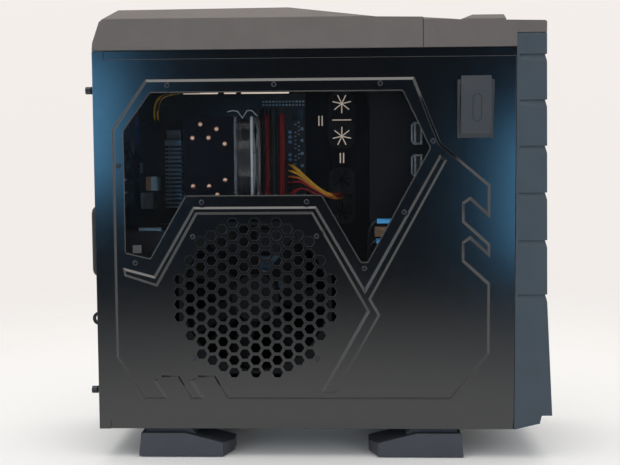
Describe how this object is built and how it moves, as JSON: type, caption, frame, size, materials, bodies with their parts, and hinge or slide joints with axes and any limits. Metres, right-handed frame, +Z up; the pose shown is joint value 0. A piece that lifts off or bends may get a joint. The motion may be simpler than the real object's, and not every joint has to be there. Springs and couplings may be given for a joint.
{
  "type": "desktop computer tower",
  "caption": "Full-size upright computer case on four feet, with a pressed steel side panel, clear window, hexagon fan grille and pull latch, and its inner parts.",
  "frame": {"origin": "centre of the object's footprint, on the surface that it stands on", "axes": "+Z up, -Y to the front bezel, -X to the side with the window"},
  "size_m": [0.238, 0.6066, 0.5918],
  "materials": {
    "chassis_paint": "satin black paint",
    "panel_paint": "satin blue-black paint",
    "cover_plastic": "fine-textured dark grey",
    "bezel_plastic": "satin blue-grey",
    "black_plastic": "matte black",
    "fan_plastic": "black",
    "clear_fan": "clear",
    "window_acrylic": "clear tinted",
    "rubber": "matte",
    "dark_screw": "black oxide",
    "steel": "plain steel",
    "circuit_board": "black solder mask",
    "slot_red": "red",
    "slot_white": "white",
    "module_green": "green solder mask",
    "fin_aluminium": "plain",
    "dark_aluminium": "dark anodised",
    "copper": "plain copper",
    "brass": "plain",
    "lock_plastic": "grey",
    "cable_sleeve": "woven sleeve"
  },
  "bodies": {
    "chassis": {"chassis_floor": "chassis_paint", "chassis_roof": "chassis_paint", "chassis_rear_wall": "chassis_paint", "chassis_front_wall": "chassis_paint", "motherboard_tray": "chassis_paint", "cable_grommets": "rubber", "drive_bay_cage": "chassis_paint", "drive_bay_locks": "lock_plastic", "hard_drive_cage": "chassis_paint", "hard_drives": "dark_aluminium", "top_cover": "cover_plastic", "top_mesh": "chassis_paint", "front_console": "cover_plastic", "console_ports": "steel", "front_bezel": "bezel_plastic", "bay_covers": "bezel_plastic", "front_mesh": "chassis_paint", "feet": "cover_plastic", "foot_pads": "rubber", "slot_covers": "chassis_paint", "slot_guard": "black_plastic", "padlock_loop": "chassis_paint", "power_supply": "chassis_paint", "psu_inlet": "black_plastic", "motherboard": "circuit_board", "standoffs": "brass", "io_shield": "steel", "rear_io_ports": "steel", "cpu_socket": "steel", "cooler_base": "copper", "cooler_fins": "fin_aluminium", "heat_pipes": "copper", "memory_slots": "slot_red", "memory_modules": "module_green", "board_heatsinks": "dark_aluminium", "expansion_slots": "slot_white", "graphics_card": "circuit_board", "power_cable": "cable_sleeve", "top_fan_frame": "fan_plastic", "front_fan_frame": "fan_plastic", "rear_fan_frame": "fan_plastic", "cooler_fan_frame": "clear_fan"},
    "left_panel": {"side_panel": "panel_paint", "side_window": "window_acrylic", "panel_screws": "dark_screw", "side_fan_frame": "fan_plastic", "latch_base": "bezel_plastic", "latch_pin": "steel", "left_thumbscrews": "dark_screw"},
    "right_panel": {"right_side_panel": "panel_paint", "right_thumbscrews": "dark_screw"},
    "latch": {"latch_paddle": "bezel_plastic"},
    "side_fan": {"side_fan_rotor": "fan_plastic"},
    "top_fan": {"top_fan_rotor": "fan_plastic"},
    "front_fan": {"front_fan_rotor": "fan_plastic"},
    "rear_fan": {"rear_fan_rotor": "fan_plastic"},
    "cooler_fan": {"cooler_fan_rotor": "clear_fan"},
    "psu_rocker": {"psu_switch": "black_plastic"},
    "power_key": {"power_button": "cover_plastic"},
    "reset_key": {"reset_button": "cover_plastic"}
  },
  "joints": [
    {"name": "left_panel_pull", "type": "slide", "parent": "chassis", "child": "left_panel", "axis": [-1, 0, 0], "range_m": [0, 0.15]},
    {"name": "right_panel_pull", "type": "slide", "parent": "chassis", "child": "right_panel", "axis": [1, 0, 0], "range_m": [0, 0.15]},
    {"name": "latch_lift", "type": "hinge", "parent": "left_panel", "child": "latch", "pos_m": [-0.1125, -0.20125, 0.48955], "axis": [0, 1, 0], "range_deg": [0, 50], "stiffness_Nm_per_rad": 0.08, "springref_deg": -11.46},
    {"name": "side_fan_spin", "type": "hinge", "parent": "left_panel", "child": "side_fan", "pos_m": [-0.108, 0.08375, 0.2135], "axis": [1, 0, 0], "continuous": true},
    {"name": "top_fan_spin", "type": "hinge", "parent": "chassis", "child": "top_fan", "pos_m": [0.005, 0.14975, 0.5358], "axis": [0, 0, 1], "continuous": true},
    {"name": "front_fan_spin", "type": "hinge", "parent": "chassis", "child": "front_fan", "pos_m": [0.005, -0.25305, 0.165], "axis": [0, 1, 0], "continuous": true},
    {"name": "rear_fan_spin", "type": "hinge", "parent": "chassis", "child": "rear_fan", "pos_m": [-0.0326, 0.29035, 0.439], "axis": [0, 1, 0], "continuous": true},
    {"name": "cooler_fan_spin", "type": "hinge", "parent": "chassis", "child": "cooler_fan", "pos_m": [-0.02, 0.11225, 0.391], "axis": [0, 1, 0], "continuous": true},
    {"name": "psu_rocker_tilt", "type": "hinge", "parent": "chassis", "child": "psu_rocker", "pos_m": [0, 0.28585, 0.096], "axis": [1, 0, 0], "range_deg": [-20, 0]},
    {"name": "power_press", "type": "slide", "parent": "chassis", "child": "power_key", "axis": [0, 0, -1], "range_m": [0, 0.002], "stiffness_N_per_m": 400, "springref_m": -0.002},
    {"name": "reset_press", "type": "slide", "parent": "chassis", "child": "reset_key", "axis": [0, 0, -1], "range_m": [0, 0.002], "stiffness_N_per_m": 400, "springref_m": -0.002}
  ]
}
